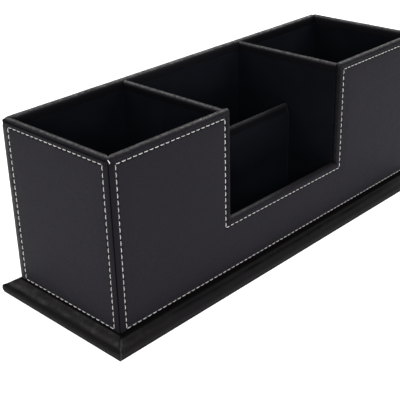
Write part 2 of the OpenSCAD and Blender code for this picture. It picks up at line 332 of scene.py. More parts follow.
def leather_finish(name, leather, black):
    """Black leather: fine pebble grain, pores, cloudy tone, painted shade in creases, valleys, seams and
    gaps, and rubbed edges with a painted highlight.
    """
    finish = Finish(
        name, Specular_IOR_Level=0.07, Specular_Tint=(0.95, 0.9, 1, 1), Coat_Roughness=0.42
    )
    place = finish.warped(6 * leather.grain, 0.9 * leather.grain)
    valleys = finish.cells(leather.grain, "DISTANCE_TO_EDGE", place)
    pebbles = (valleys * 3.2).clamped(0, 1)
    pores = finish.clouds(0.28 * leather.grain, 3)
    tone = finish.clouds(26 * MM, 4)
    # Painted shade: this paint darkens the colour and, above 0.6, mixes in a matte dark shader in valleys,
    # folds, seams and gaps
    crease = finish.painted("crease").clamped(0, 1)
    # Painted highlight together with real wear: this paint lightens rubbed edges and rims, and above 1 it
    # paints a strong highlight
    rub_and_highlight_level = finish.painted("rub")
    rub = rub_and_highlight_level.clamped(0, 1)
    patches = finish.clouds(2.4 * MM, 4)
    # How worn and how highlighted each place is: it lightens the colour and also sets the coat
    worn_and_highlight = (rub * (0.5 * tone + 1.5 * patches - 0.15)).clamped(0, 1)
    plain = finish.mixed(tone, rgba(black, 0.8), rgba(black, 1.25))
    edge_wear_and_highlight = finish.mixed(worn_and_highlight, plain, rgba(leather.rubbed))
    # Painted highlight: where the paint goes above 1 the colour reaches four times the rubbed colour
    strong_highlight = finish.mixed((rub_and_highlight_level - 1).clamped(0, 1), edge_wear_and_highlight, rgba(leather.rubbed, 4))
    # Painted shade: colour darkened towards a deep black by the shade paint
    crease_shaded = finish.mixed(crease * 0.85, strong_highlight, rgba(black, 0.32))
    grooved = finish.mixed(0.35 - 0.35 * pebbles, crease_shaded, rgba(black, 0.4))
    rough = leather.roughness + 0.14 * (tone - 0.5) - 0.16 * worn_and_highlight + 0.2 * crease - 0.08 * pebbles
    relief = pebbles * 0.7 + pores * 0.3
    # Painted shade: a matte dark shader is mixed in where the shade paint is strong, which takes the sheen
    # away
    finish.dulled(((crease - 0.6) * 2.5).clamped(0, 1), rgba(black, 0.32))
    return finish.shade(
        Base_Color=grooved,
        Roughness=rough.clamped(0.2, 0.9),
        Coat_Weight=worn_and_highlight ** 2,
        Normal=finish.bump(relief, 0.14 * MM, 0.8),
    )


def thread_finish(name, stitch):
    """Off-white twisted thread, with fibres and some grey in it."""
    finish = Finish(name, Roughness=0.75, Specular_IOR_Level=0.25, Sheen_Weight=0.2)
    fibres = finish.clouds(0.12 * MM, 3)
    shade = finish.painted("shade")
    tone = (0.3 + 0.6 * shade + 0.4 * fibres).clamped(0, 1)
    base = finish.mixed(tone, rgba(stitch.colour, 0.7), rgba(stitch.colour))
    return finish.shade(Base_Color=base, Normal=finish.bump(fibres, 0.05 * MM, 0.5))


def velvet_finish(name, velvet):
    """Flocked velvet: near black, with brushed patches and a fine pile, and painted shade where it faces
    along X.
    """
    finish = Finish(
        name, Roughness=0.95, Specular_IOR_Level=0.06,
        Sheen_Weight=0.1, Sheen_Roughness=0.4, Sheen_Tint=(0.55, 0.7, 1, 1),
    )
    pile = finish.clouds(0.3 * MM, 2)
    brushed = finish.clouds(14 * MM, 3)
    facing = finish.add("ShaderNodeSeparateXYZ", sockets={0: finish.place.out("Normal")})
    # Painted shade on faces that look along X
    side_shade = facing.math("ABSOLUTE", facing)
    tone = (0.65 * brushed + 0.4 * pile - 0.3 * side_shade).clamped(0, 1)
    base = finish.mixed(tone, rgba(velvet.colour, 0.5), rgba(velvet.colour, 1.6))
    return finish.shade(Base_Color=base, Normal=finish.bump(pile, 0.15 * MM, 0.5))


def felt_finish(name):
    """Black needle felt with matted fibres."""
    finish = Finish(name, Roughness=0.95, Specular_IOR_Level=0.15)
    mat = finish.clouds(0.9 * MM, 4, finish.warped(3 * MM, 1.5 * MM))
    base = finish.mixed(mat, (0.005, 0.005, 0.006, 1), (0.03, 0.03, 0.032, 1))
    return finish.shade(Base_Color=base, Normal=finish.bump(mat, 0.3 * MM, 0.6))


def fibreboard_finish(name):
    """Raw fibreboard: brown, with pressed fibres."""
    finish = Finish(name, Roughness=0.85, Specular_IOR_Level=0.2)
    fibres = finish.clouds(1.6 * MM, 5, finish.warped(5 * MM, 4 * MM))
    base = finish.mixed(fibres, (0.2, 0.12, 0.06, 1), (0.45, 0.3, 0.16, 1))
    return finish.shade(Base_Color=base, Normal=finish.bump(fibres, 0.1 * MM, 0.4))


def steel_finish(name):
    """Zinc-plated screw steel with fine marks."""
    finish = Finish(name, Metallic=1.0)
    marks = finish.clouds(0.5 * MM, 3)
    base = finish.mixed(marks, (0.5, 0.51, 0.53, 1), (0.72, 0.73, 0.74, 1))
    return finish.shade(Base_Color=base, Roughness=0.25 + 0.25 * marks)


def floor_finish(name, stage):
    """Pale paper floor, almost even."""
    finish = Finish(
        name, Roughness=0.9, Specular_IOR_Level=0.1,
        Emission_Color=(1, 1, 1, 1), Emission_Strength=stage.glow,
    )
    tone = finish.clouds(0.4, 2)
    return finish.shade(Base_Color=finish.mixed(tone, rgba(stage.floor, 0.985), rgba(stage.floor)))


# Meshes

# Turns that bring the front of a rectangle to its front, right, back and left side
QUARTER_TURNS = [np.array([[cos, sin], [-sin, cos]]) for cos, sin in ((1, 0), (0, 1), (-1, 0), (0, -1))]


def ripple(points, size, seed):
    """Smooth noise from about -1 to 1 at each point, with features of that size."""
    shift = Vector((1.7 * seed, 5.3 * seed, 9.1 * seed))
    flat = points.reshape(-1, 3) / size
    return np.array([noise.noise(Vector(p) + shift) for p in flat]).reshape(points.shape[:-1])


def swell(distance, reach):
    """Rises smoothly from 0 at distance 0 to 1 at reach and beyond."""
    t = np.clip(distance / reach, 0, 1)
    return t * t * (3 - 2 * t)


def graded(start, end, step, marks, gap=0.14 * MM):
    """Grid lines from start to end: even steps, finer beside each mark, and one on each mark."""
    kept = sorted({start, end, *marks})
    offsets = [side * away * MM for away in (0.2, 0.42, 0.66, 0.95, 1.35, 1.9) for side in (-1, 1)]
    beside = [mark + offset for mark in marks for offset in offsets]
    even = np.linspace(start, end, round((end - start) / step) + 1)
    for line in [*sorted(beside), *even]:
        spare = gap if line in beside else 0.6 * step
        if start < line < end and min(abs(line - k) for k in kept) > spare:
            kept.append(line)
    return np.array(sorted(kept))


def numbered(shape):
    """Grid of vertex numbers, row by row."""
    return np.arange(math.prod(shape)).reshape(shape)


def quads(index, wrap=False):
    """Faces of a grid of vertex numbers, whose normals point along columns x rows."""
    if wrap:
        index = np.hstack([index, index[:, :1]])
    corners = (index[:-1, :-1], index[:-1, 1:], index[1:, 1:], index[1:, :-1])
    return np.stack(corners, axis=-1).reshape(-1, 4).tolist()


def closed_skin(visible, hidden, faces, **paints):
    """Points, faces and paints of a closed skin: its visible side, its hidden side and the edge between."""
    count = visible.size // 3
    loops = [list(dict.fromkeys(face)) for face in faces]
    loops = [loop for loop in loops if len(loop) > 2]
    edges = {(a, b) for loop in loops for a, b in zip(loop, loop[1:] + loop[:1])}
    rim = [[b, a, a + count, b + count] for a, b in sorted(edges) if (b, a) not in edges]
    back = [[v + count for v in reversed(loop)] for loop in loops]
    points = np.vstack([visible.reshape(-1, 3), hidden.reshape(-1, 3)])
    painted = {label: np.tile(values.ravel(), 2) for label, values in paints.items()}
    return points, loops + back + rim, painted


def make_piece(name, skin, material, node):
    """Piece of the organizer that is made from a skin and stands for a CAD node."""
    points, faces, painted = skin
    used = np.unique(np.concatenate([np.array(face) for face in faces]))
    renumber = np.full(len(points), -1)
    renumber[used] = np.arange(len(used))
    mesh = bpy.data.meshes.new(name)
    mesh.from_pydata(points[used].tolist(), [], [renumber[face].tolist() for face in faces])
    for label, values in painted.items():
        layer = mesh.attributes.new(label, "FLOAT", "POINT")
        layer.data.foreach_set("value", values[used].astype(np.float32))
    mesh.shade_smooth()
    mesh.set_sharp_from_angle(angle=SHARP_ANGLE)
    mesh.materials.append(material)
    if mesh.validate():
        raise RuntimeError(f"{name} has faces that aren't valid")
    piece = ride_along(name, mesh)
    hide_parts(node)
    return piece


def ride_along(name, mesh):
    """New object of that mesh, which rides on the box."""
    piece = bpy.data.objects.new(name, mesh)
    bpy.context.scene.collection.objects.link(piece)
    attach(piece, BODY)
    return piece


def finish_of(name, make, *settings):
    """Material of that name, made the first time it is asked for."""
    return bpy.data.materials.get(name) or make(name, *settings)


# Walls

class Wall:
    """One side of the box in its own frame: X along it, Y inwards from its face and Z up from the base."""

    def __init__(self, name, length, out, turn, valley_shade, notched=False):
        self.name = name
        self.length = length
        self.notched = notched
        self.valley_shade = valley_shade
        turned = Matrix.Rotation(math.radians(turn), 4, "Z")
        self.matrix = Matrix.Translation((0, 0, BASE_TOP)) @ turned @ Matrix.Translation((0, -out, 0))
        self.outward = turned @ Vector((0, -1, 0))

    def outline(self, ends, foot, rim):
        """Corners of the face, drawn in from its ends, its foot and its rim."""
        x = self.length / 2 - ends
        top = BOX_H - rim
        if not self.notched:
            return [(-x, foot), (x, foot), (x, top), (-x, top)]
        side = NOTCH_HALF + rim
        floor = NOTCH_FLOOR - rim
        notch = [(side, top), (side, floor), (-side, floor), (-side, top)]
        return [(-x, foot), (x, foot), (x, top), *notch, (-x, top)]

    def rim_runs(self):
        """Runs of the valley under the roll, from left to right."""
        corners = self.outline(0, 0, VALLEY)[:1:-1]
        return list(zip(corners, corners[1:]))

    def stitch_runs(self, stitch):
        """Straight runs of the stitch line."""
        corners = self.outline(stitch.inset, stitch.foot, stitch.inset)
        return list(zip(corners, corners[1:] + corners[:1]))

    def within(self, x, z, ends, foot, rim):
        """Which points lie within the outline that is drawn in so far."""
        inside = (abs(x) < self.length / 2 - ends) & (z > foot) & (z < BOX_H - rim)
        if self.notched:
            inside &= (abs(x) > NOTCH_HALF + rim) | (z < NOTCH_FLOOR - rim)
        return inside

    def placed(self, points):
        """Points of the wall in the frame of the organizer."""
        return points @ np.array(self.matrix.to_3x3()).T + np.array(self.matrix.translation)


WALLS = (
    Wall("front", BOX_L, BOX_D / 2, turn=0, valley_shade=0.4, notched=True),
    Wall("back", BOX_L, BOX_D / 2, turn=180, valley_shade=0.4),
    Wall("left_end", BOX_D, BOX_L / 2, turn=-90, valley_shade=0.97),
    Wall("right_end", BOX_D, BOX_L / 2, turn=90, valley_shade=0.97),
)


def from_runs(x, z, runs):
    """Distance of each point from the nearest run, that run's number and the share along it."""
    nearest = np.full(x.shape, np.inf)
    which = np.zeros(x.shape, int)
    along = np.zeros(x.shape)
    for number, ((x0, z0), (x1, z1)) in enumerate(runs):
        dx, dz = x1 - x0, z1 - z0
        t = np.clip(((x - x0) * dx + (z - z0) * dz) / (dx * dx + dz * dz), 0, 1)
        distance = np.hypot(x - x0 - t * dx, z - z0 - t * dz)
        closer = distance < nearest
        nearest = np.where(closer, distance, nearest)
        which = np.where(closer, number, which)
        along = np.where(closer, t, along)
    return nearest, which, along


def seam_turn(wall, x, leather):
    """How far the leather has turned into a corner seam, from 0 on the face to 1 at the seam."""
    into = np.clip(1 - (wall.length / 2 - abs(x)) / leather.shoulder, 0, 1)
    return 1 - np.sqrt(1 - into ** 2)


def mitred(wall, points, reach=8 * MM):
    """Points near the ends of a wall, drawn in to the mitre by their own depth."""
    x = points[..., 0]
    pull = np.clip(1 - (wall.length / 2 - abs(x)) / reach, 0, 1) ** 2
    drawn = points.copy()
    drawn[..., 0] = x - np.sign(x) * points[..., 1] * pull
    return drawn


def face_relief(wall, x, z, leather, stitch):
    """Depth of a cover's face, which swells between its stitches and sinks along them, and its paints of
    painted shade and painted highlight.
    """
    runs = wall.stitch_runs(stitch)
    near, which, along = from_runs(x, z, runs)
    counts = np.array([int(math.dist(a, b) / stitch.pitch) for a, b in runs])
    holes = np.cos(2 * math.pi * along * counts[which])
    valley = from_runs(x, z, wall.rim_runs())[0]
    inside = wall.within(x, z, stitch.inset, stitch.foot, stitch.inset)
    panel = leather.puff * swell(near, 9 * MM)
    arch = np.sin(math.pi * np.clip(near / stitch.inset, 0, 1))
    border = leather.strip_puff * arch * swell(valley, 2 * MM)
    channel = np.exp(-(near / stitch.channel) ** 2)
    pucker = 0.06 * MM * holes * np.exp(-(near / (2.2 * MM)) ** 2)
    rim = np.exp(-(valley / (0.8 * MM)) ** 2)
    place = np.stack([x, np.full(x.shape, len(wall.name) * 0.1), z], axis=-1)
    wave = leather.wave * ripple(place, 38 * MM, 1) + 0.3 * leather.wave * ripple(place, 11 * MM, 2)
    seam = seam_turn(wall, x, leather)
    foot = 1 - np.sqrt(1 - np.clip(1 - z / leather.foot, 0, 1) ** 2)
    depth = -np.where(inside, panel, border) + stitch.depth * channel * (1 + 0.3 * holes)
    depth += pucker + 0.22 * MM * rim + wave * swell(near, 6 * MM) * (1 - seam)
    turned_in = np.maximum(seam, foot)
    depth = depth * (1 - turned_in) + leather.seam * turned_in
    # Painted shade in the corner seams and along the foot, where the leather turns in
    gap_shade = np.clip(1.9 * np.sqrt(turned_in), 0, 1)

    # Painted shade along the stitch channels, under the roll and on the borders beside the front corners;
    # painted highlight on the borders beside the back corners
    corner = abs(x) > wall.length / 2 - stitch.inset
    at_back = wall.placed(np.stack([x, 0 * x, z], axis=-1))[..., 1] > 0
    crease = np.maximum.reduce([0.8 * channel, 0.5 * rim, gap_shade, 0.55 * (corner & ~at_back)])
    return depth, crease, 0.55 * (corner & at_back)


def rim_path(wall, xs, zs, index):
    """Vertices along the valley under the roll, and the way in which the roll goes off from each."""
    top = len(zs) - 1
    if not wall.notched:
        return [(index[top, c], (0, 1)) for c in range(len(xs))]
    side = NOTCH_HALF + VALLEY
    left = int(abs(xs + side).argmin())
    right = int(abs(xs - side).argmin())
    floor = int(abs(zs - NOTCH_FLOOR + VALLEY).argmin())
    reach = 8 * MM
    square = 0.4
    turns = [math.radians(t) for t in (0, 18, 36, 54, 72, 90)]
    fan = [(math.sin(t) ** square, math.cos(t) ** square) for t in turns]

    def lean(distance):
        return max(0.0, 1 - distance / reach)

    path = [(index[top, c], (0, 1)) for c in range(left)]
    path += [(index[top, left], way) for way in fan]
    path += [(index[r, left], (1, lean(zs[r] - zs[floor]))) for r in range(top - 1, floor - 1, -1)]
    path += [
        (index[floor, c], (lean(xs[c] - xs[left]) - lean(xs[right] - xs[c]), 1))
        for c in range(left + 1, right)
    ]
    path += [(index[r, right], (-1, lean(zs[r] - zs[floor]))) for r in range(floor, top)]
    path += [(index[top, right], (-across, up)) for across, up in reversed(fan)]
    path += [(index[top, c], (0, 1)) for c in range(right + 1, len(xs))]
    return path


def notch_pucker(wall, place):
    """Puckers where the roll turns the corners of the notch's floor."""
    if not wall.notched:
        return np.zeros(place.shape[:-1])
    away = np.hypot(abs(place[..., 0]) - NOTCH_HALF - 4 * MM, place[..., 2] - NOTCH_FLOOR)
    folds = np.sin((abs(place[..., 0]) + 0.6 * place[..., 2]) / (0.42 * MM))
    return 0.13 * MM * folds * np.exp(-(away / (7 * MM)) ** 2)


def rolled_rim(wall, valley, ways, leather):
    """Rings of the roll over the rim and of the fold behind: visible points, hidden points, painted shade
    and painted highlight.
    """
    start = -math.asin((VALLEY - ROLL_R) / ROLL_R)
    off = np.stack([ways[:, 0], 0 * ways[:, 0], ways[:, 1]], axis=-1)
    axis = valley + off * (VALLEY - ROLL_R)
    seam = seam_turn(wall, axis[:, 0], leather)
    pinch = 1 - swell(wall.length / 2 - abs(axis[:, 0]), 3 * MM)
    reach = np.array([LEATHER_T + BOARD_T - ROLL_R, 0, FOLD_H - ROLL_R])
    gap_shade = np.clip(1.3 * np.sqrt(seam), 0, 1)
    shaded = np.clip(-ways[:, 0], 0, 1) ** 8

    # The floor of the notch gets less painted highlight than the rest, and least from its middle to its
    # right, where it also gets painted shade
    on_floor = axis[:, 2] < NOTCH_FLOOR
    onward = swell(axis[:, 0] + 25 * MM, 35 * MM) * on_floor
    rub_and_highlight_level = 1 - 0.35 * on_floor - 0.4 * onward
    visible, hidden, crease, rub = [], [], [], []

    def ring(turn, fold):
        out = np.array([0, -math.cos(turn), 0]) + off * math.sin(turn)
        place = axis + out * ROLL_R
        wrinkle = leather.wrinkle * ripple(place * (0.35, 1, 1), 6 * MM, 3)
        wrinkle += 0.8 * leather.wrinkle * (ripple(place, 1.9 * MM, 4) - 2) + notch_pucker(wall, place)
        radius = ROLL_R + wrinkle * (fold == 0) * swell(turn - start, 0.6) - 0.55 * MM * pinch
        shown = axis + out * radius[:, None] - off * reach * fold
        shown[:, 1] += ROLL_DEPTH
        back = axis + out * (ROLL_R - LEATHER_T) - off * reach * fold
        back[:, 1] += ROLL_DEPTH
        visible.append(shown)
        hidden.append(back)
        # Painted shade in the valley under the roll, deeper on the end walls, on the inner side of the roll
        # and the fold behind it, and on the notch's right side
        valley_shade = wall.valley_shade * math.exp(-((turn - 0.05) / 0.55) ** 2)
        inner_shade = 0.78 * swell(turn + 2 * fold - 2.4, 1.0)
        crease.append(np.maximum.reduce([
            gap_shade, np.full(len(shown), max(valley_shade, inner_shade)),
            0.9 * shaded * swell(turn - 0.2, 0.6), 0.65 * onward * swell(turn - 0.3, 0.6),
        ]))
        # Painted highlight together with wear on the top of the roll
        rub.append(rub_and_highlight_level * max(0.0, math.sin(turn - 0.1)) ** 1.5 * (1 - fold))

    for turn in np.linspace(start, math.pi, ROLL_RINGS)[1:]:
        ring(turn, 0)
    for fold in FOLD_SHARES:
        ring(math.pi, fold)
    return [np.array(part) for part in (visible, hidden, crease, rub)]


def cover_skin(wall, leather, stitch):
    """Closed skin of one wall's leather: the stitched face, the roll over its rim and the fold behind."""
    end = wall.length / 2
    top = BOX_H - VALLEY
    across = [-end, end, stitch.inset - end, end - stitch.inset]
    upward = [0, stitch.foot, BOX_H - stitch.inset, top]
    if wall.notched:
        across += [side * (NOTCH_HALF + inset) for side in (-1, 1) for inset in (stitch.inset, VALLEY)]
        upward += [NOTCH_FLOOR - stitch.inset, NOTCH_FLOOR - VALLEY]
    xs = graded(-end, end, leather.step, across)
    zs = graded(0, top, leather.step, upward)
    x, z = np.meshgrid(xs, zs)
    depth, crease, rub = face_relief(wall, x, z, leather, stitch)
    visible = np.stack([x, depth, z], axis=-1).reshape(-1, 3)
    hidden = np.stack([x, np.full(x.shape, LEATHER_T), z], axis=-1).reshape(-1, 3)
    index = numbered(x.shape)
    faces = np.array(quads(index))
    middle = visible[faces].mean(axis=1)
    faces = faces[wall.within(middle[:, 0], middle[:, 2], 0, 0, VALLEY)].tolist()

    path = rim_path(wall, xs, zs, index)
    rim = np.array([vertex for vertex, _ in path])
    ways = np.array([way for _, way in path], float)
    valley = visible[rim] * (1, 0, 1)
    shown, back, ring_crease_and_shade, ring_rub_and_highlight = rolled_rim(wall, valley, ways, leather)
    rings = numbered(shown.shape[:2]) + x.size
    faces += quads(np.vstack([rim, rings]))
    visible = wall.placed(mitred(wall, np.vstack([visible, shown.reshape(-1, 3)])))
    hidden = wall.placed(mitred(wall, np.vstack([hidden, back.reshape(-1, 3)])))
    return closed_skin(
        visible, hidden, faces,
        crease=np.concatenate([crease.ravel(), ring_crease_and_shade.ravel()]),
        rub=np.concatenate([rub.ravel(), ring_rub_and_highlight.ravel()]),
    )


# Stitches

def stitching_tree():
    """Node tree that sews a stitch between each two needle holes along the runs of a curve."""
    tree = bpy.data.node_groups.new("stitching", "GeometryNodeTree")
    tree.is_modifier = True
    inputs = {
        "Geometry": "NodeSocketGeometry", "Pitch": "NodeSocketFloat", "Stitch length": "NodeSocketFloat",
        "Thread": "NodeSocketFloat", "Outward": "NodeSocketVector", "Wander": "NodeSocketFloat",
        "Seed": "NodeSocketInt", "Material": "NodeSocketMaterial",
    }
    for name, kind in inputs.items():
        tree.interface.new_socket(name, in_out="INPUT", socket_type=kind)
    tree.interface.new_socket("Geometry", in_out="OUTPUT", socket_type="NodeSocketGeometry")
    nodes = Nodes(tree)
    given = nodes.add("NodeGroupInput")

    factor = nodes.add("GeometryNodeSplineParameter")
    half = given.out("Stitch length") * 0.5
    thickness = given.out("Thread")
    dip = thickness * -0.6
    left = nodes.add("ShaderNodeCombineXYZ", sockets={"X": half * -1.0, "Z": dip})
    crown = nodes.add("ShaderNodeCombineXYZ", sockets={"Z": thickness * 0.5})
    right = nodes.add("ShaderNodeCombineXYZ", sockets={"X": half, "Z": dip})
    arch = nodes.add(
        "GeometryNodeCurveQuadraticBezier",
        sockets={"Resolution": 7, "Start": left, "Middle": crown, "End": right},
    )
    twist = factor * (2.5 * math.pi)
    twisted = nodes.add("GeometryNodeSetCurveTilt", sockets={"Curve": arch, "Tilt": twist})
    ring = nodes.add(
        "GeometryNodeCurvePrimitiveCircle", sockets={"Resolution": 6, "Radius": thickness * 0.5}
    )
    plies = nodes.add("GeometryNodeTransform", sockets={"Geometry": ring, "Scale": (1.12, 0.8, 1)})
    taper = 1 - 0.45 * (2 * factor - 1) ** 4
    thread = nodes.add(
        "GeometryNodeCurveToMesh",
        sockets={"Curve": twisted, "Profile Curve": plies, "Scale": taper, "Fill Caps": True},
    )

    holes = nodes.add(
        "GeometryNodeResampleCurve", {"mode": "LENGTH"},
        {"Curve": given.out("Geometry"), "Length": given.out("Pitch")},
    )
    spans = nodes.add("GeometryNodeCurveToMesh", sockets={"Curve": holes})
    ends = nodes.add("GeometryNodeInputMeshEdgeVertices", output="Position 2")
    way = nodes.add(
        "ShaderNodeVectorMath", {"operation": "SUBTRACT"}, {0: ends, 1: ends.out("Position 1")}
    )
    marked = nodes.add(
        "GeometryNodeStoreNamedAttribute", {"data_type": "FLOAT_VECTOR", "domain": "EDGE"},
        {"Geometry": spans, "Name": "way", "Value": way},
    )
    centres = nodes.add("GeometryNodeMeshToPoints", {"mode": "EDGES"}, {"Mesh": marked})
    way_back = nodes.add("GeometryNodeInputNamedAttribute", {"data_type": "FLOAT_VECTOR"}, {"Name": "way"})
    aligned = nodes.add(
        "FunctionNodeAxesToRotation", {"primary_axis": "X", "secondary_axis": "Z"},
        {"Primary Axis": way_back, "Secondary Axis": given.out("Outward")},
    )
    wander = given.out("Wander")
    yaw = nodes.add(
        "FunctionNodeRandomValue", {"data_type": "FLOAT"},
        {2: wander * -1.0, 3: wander, "Seed": given.out("Seed")}, output=1,
    )
    turn = nodes.add("ShaderNodeCombineXYZ", sockets={"Z": yaw})
    askew = nodes.add("FunctionNodeEulerToRotation", sockets={"Euler": turn})
    turned = nodes.add(
        "FunctionNodeRotateRotation", {"rotation_space": "LOCAL"}, {"Rotation": aligned, "Rotate By": askew}
    )
    sewn = nodes.add(
        "GeometryNodeInstanceOnPoints", sockets={"Points": centres, "Instance": thread, "Rotation": turned}
    )
    lightness = nodes.add(
        "FunctionNodeRandomValue", {"data_type": "FLOAT"}, {"Seed": given.out("Seed") + 1}, output=1
    )
    shaded = nodes.add(
        "GeometryNodeStoreNamedAttribute", {"data_type": "FLOAT", "domain": "INSTANCE"},
        {"Geometry": sewn, "Name": "shade", "Value": lightness},
    )
    solid = nodes.add("GeometryNodeRealizeInstances", sockets={"Geometry": shaded})
    smooth = nodes.add("GeometryNodeSetShadeSmooth", sockets={"Geometry": solid})
    done = nodes.add(
        "GeometryNodeSetMaterial", sockets={"Geometry": smooth, "Material": given.out("Material")}
    )
    nodes.feed(tree.nodes.new("NodeGroupOutput").inputs["Geometry"], done)
    return tree


def sewn_piece(name, runs, outward, stitch, material):
    """Stitches along straight runs, as one plain mesh."""
    line = bpy.data.curves.new(name + "_line", "CURVE")
    line.dimensions = "3D"
    for start, end in runs:
        spline = line.splines.new("POLY")
        spline.points.add(1)
        spline.points[0].co = (*start, 1)
        spline.points[1].co = (*end, 1)
    guide = bpy.data.objects.new(name + "_guide", line)
    bpy.context.scene.collection.objects.link(guide)
    tree = bpy.data.node_groups.get("stitching") or stitching_tree()
    sewing = guide.modifiers.new("Stitching", "NODES")
    sewing.node_group = tree
    values = {
        "Pitch": stitch.pitch, "Stitch length": stitch.length, "Thread": stitch.thread, "Outward": outward,
        "Wander": stitch.wander, "Seed": stitch.seed, "Material": material,
    }
    for socket in tree.interface.items_tree:
        if socket.in_out == "INPUT" and socket.name in values:
            sewing[socket.identifier] = values[socket.name]
    guide.update_tag()
    graph = bpy.context.evaluated_depsgraph_get()
    mesh = bpy.data.meshes.new_from_object(guide.evaluated_get(graph), depsgraph=graph)
    bpy.data.objects.remove(guide)
    bpy.data.curves.remove(line)
    if not mesh.polygons:
        raise RuntimeError(f"{name} has no stitches")
    mesh.name = name
    return ride_along(name, mesh)


# Base

# Lines of the mesh on the ledge, round the nose and under it, and the step along the sides
LEDGE_LINES = 12
NOSE_LINES = 18
UNDER_LINES = 8
BASE_STEP = 2.2 * MM


def base_edge(base, inset=0.0):
    """Edge of the base from under the box to the fold under it: distance out from the box, and height."""
    foot = low("base_cover").z
    overhang = high("base_cover").x - BOX_L / 2
    nose_out = overhang - base.bullnose
    drop = BASE_TOP - base.bullnose_z
    slope = math.atan2(drop, nose_out) - math.asin(base.bullnose / math.hypot(drop, nose_out))
    radius = base.bullnose - inset
    touch = nose_out + radius * math.sin(slope)
    touch_z = base.bullnose_z + radius * math.cos(slope)
    top_z = BASE_TOP - inset
    ledge = touch - (top_z - touch_z) / math.tan(slope)
    bottom = math.asin((foot + inset - base.bullnose_z) / radius)
    inward = 12 * MM
    edge = [(-inward, top_z), (-inward / 2, top_z), (ledge - 1 * MM, top_z)]
    edge += [
        (ledge + (touch - ledge) * t, top_z + (touch_z - top_z) * t)
        for t in np.linspace(0, 1, LEDGE_LINES)
    ]
    top = math.pi / 2 - slope
    edge += [
        (nose_out + radius * math.cos(a), base.bullnose_z + radius * math.sin(a))
        for a in np.linspace(top, bottom, NOSE_LINES)[1:]
    ]
    under = edge[-1][0]
    fold_end = overhang - base.underfold
    edge += [(under + (fold_end - under) * t, foot + inset) for t in np.linspace(0, 1, UNDER_LINES)[1:]]
    return np.array(edge)


def nose_ear(base, edge):
    """How far a sharp nose stands out past the round one, at each point of the edge."""
    nose_out = high("base_cover").x - BOX_L / 2 - base.bullnose
    turn = np.arctan2(edge[:, 1] - base.bullnose_z, edge[:, 0] - nose_out)
    on_nose = np.hypot(edge[:, 1] - base.bullnose_z, edge[:, 0] - nose_out) < 1.001 * base.bullnose
    top = turn[on_nose].max()
    bend = np.clip(np.minimum(turn, top - turn), 0, None)
    return np.where(on_nose, base.bullnose * (1 / np.cos(bend) - 1), 0)


def base_rings(edge):
    """Rings round the box, one for each point of the edge, with mitred corners."""
    sides = [(BOX_L, BOX_D), (BOX_D, BOX_L)] * 2
    rings = []
    for out, height in edge:
        ring = []
        for spin, (along, across) in zip(QUARTER_TURNS, sides):
            x = base_columns(along) * (along / 2 + out)
            y = np.full(x.shape, -across / 2 - out)
            flat = np.stack([x, y], axis=-1) @ spin
            ring.append(np.column_stack([flat, np.full(x.shape, height)]))
        rings.append(np.vstack(ring))
    return np.array(rings)


def base_columns(along):
    """Places along a side of the base, from -1 to just short of 1, closer near its ends."""
    even = np.linspace(-1, 1, round(along / BASE_STEP) + 1)[:-1]
    near = [s * (1 - 2 * o * MM / along) for o in (0.25, 0.6, 1.1, 1.6) for s in (-1, 1)]
    return np.sort(np.concatenate([even, near]))


def base_paint(shown, out, to_mitre, lap):
    """Painted shade and painted highlight on the leather of the base: shade beside the box, under the nose
    and in a dark band along the ledge, darker along the mitres, and highlight on the ledge and the corner
    laps.
    """
    on_long = to_mitre > 0
    onward = swell(to_mitre, 60 * MM)
    box_contact_shade = 1 - np.where(on_long, swell(out - 1.5 * MM, 2.1 * MM), swell(out - 0.3 * MM, 0.9 * MM))
    mitre = np.exp(-(to_mitre / (0.6 * MM)) ** 2) * ~on_long
    dark_band_at = np.where(on_long, 4.1 * MM, 7.2 * MM) + 0.6 * MM * ripple(shown * (1, 1, 0), 35 * MM, 14)
    dark_band = np.exp(-((out - dark_band_at) / (1.45 * MM)) ** 2)
    dark_band *= 0.92 + 0.3 * ripple(shown * (1, 1, 2), 9 * MM, 15)
    dark_band *= np.where(on_long, 0.5 + 0.35 * onward, 0.7)
    # Painted shade on the underside of the nose, near the floor
    under = 1 - swell(shown[..., 2] - 1 * MM, 2.2 * MM)
    crease = np.maximum.reduce([box_contact_shade, 0.8 * mitre, dark_band, 0.8 * under])
    # Painted highlight together with wear on the ledge, strongest on the shoulders of the ends and on the
    # corner laps
    ledge = swell(out - 0.2 * MM, 0.9 * MM) * (1 - swell(out - 5.6 * MM, 2.4 * MM))
    shoulder = 0.33 + 0.24 * np.exp(-((out - 4.8 * MM) / (1.2 * MM)) ** 2)
    shoulder += 0.26 * np.exp(-((out - 1 * MM) / (0.9 * MM)) ** 2)
    blotches = 1 + 0.7 * ripple(shown, 5 * MM, 16)
    rub = np.where(on_long, 0.32 - 0.2 * onward, shoulder) * ledge * blotches + 0.8 * lap
    return crease, rub


